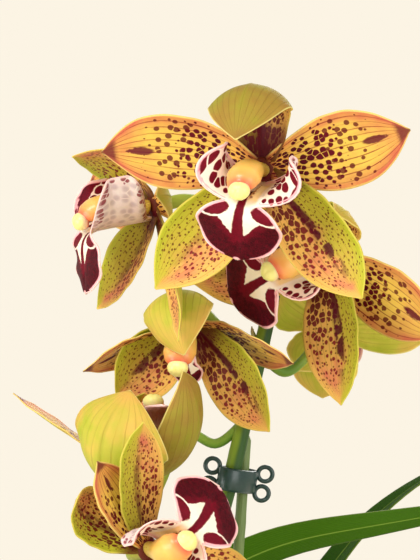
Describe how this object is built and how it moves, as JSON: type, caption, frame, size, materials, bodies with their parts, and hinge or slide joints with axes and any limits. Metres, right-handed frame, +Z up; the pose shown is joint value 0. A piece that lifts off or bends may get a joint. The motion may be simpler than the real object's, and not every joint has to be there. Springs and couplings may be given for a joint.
{
  "type": "potted cymbidium orchid",
  "caption": "Cymbidium orchid in a plain pot: leafy growths in bark and one staked spray of spotted yellow blooms with dark red lips.",
  "frame": {"origin": "centre of the pot's flat underside, on the ground", "axes": "+Z up, +X to the right of the front view, -Y towards the viewer of the blooms"},
  "size_m": [0.5782, 0.5094, 0.6225],
  "materials": {
    "tepal": "satin yellow with orange veins and maroon spots",
    "lip": "velvety maroon over white, pink at the edge",
    "column": "waxy pale orange with a cream cap",
    "leaf": "smooth green with lengthwise veins",
    "stem": "smooth green stalks, paler on one side",
    "bark": "rough brown chips",
    "pot": "plain matte terracotta",
    "stake": "green stained cane",
    "clip": "dark green moulded plastic"
  },
  "bodies": {
    "root": {"bloom_top_tepals": "tepal", "bloom_top_lip": "lip", "bloom_top_column": "column", "bloom_left_tepals": "tepal", "bloom_left_lip": "lip", "bloom_left_column": "column", "bloom_right_tepals": "tepal", "bloom_right_lip": "lip", "bloom_right_column": "column", "bloom_middle_tepals": "tepal", "bloom_middle_lip": "lip", "bloom_middle_column": "column", "bloom_upturned_tepals": "tepal", "bloom_upturned_lip": "lip", "bloom_upturned_column": "column", "bloom_low_tepals": "tepal", "bloom_low_lip": "lip", "bloom_low_column": "column", "bloom_back_tepals": "tepal", "bloom_back_lip": "lip", "bloom_back_column": "column", "bloom_lowest_tepals": "tepal", "bloom_lowest_lip": "lip", "bloom_lowest_column": "column", "pot": "pot", "potting_bark": "bark", "growth_left": "leaf", "growth_right": "leaf", "growth_behind": "leaf", "flower_spray": "stem", "stake": "stake", "stem_clip": "clip"}
  },
  "joints": []
}
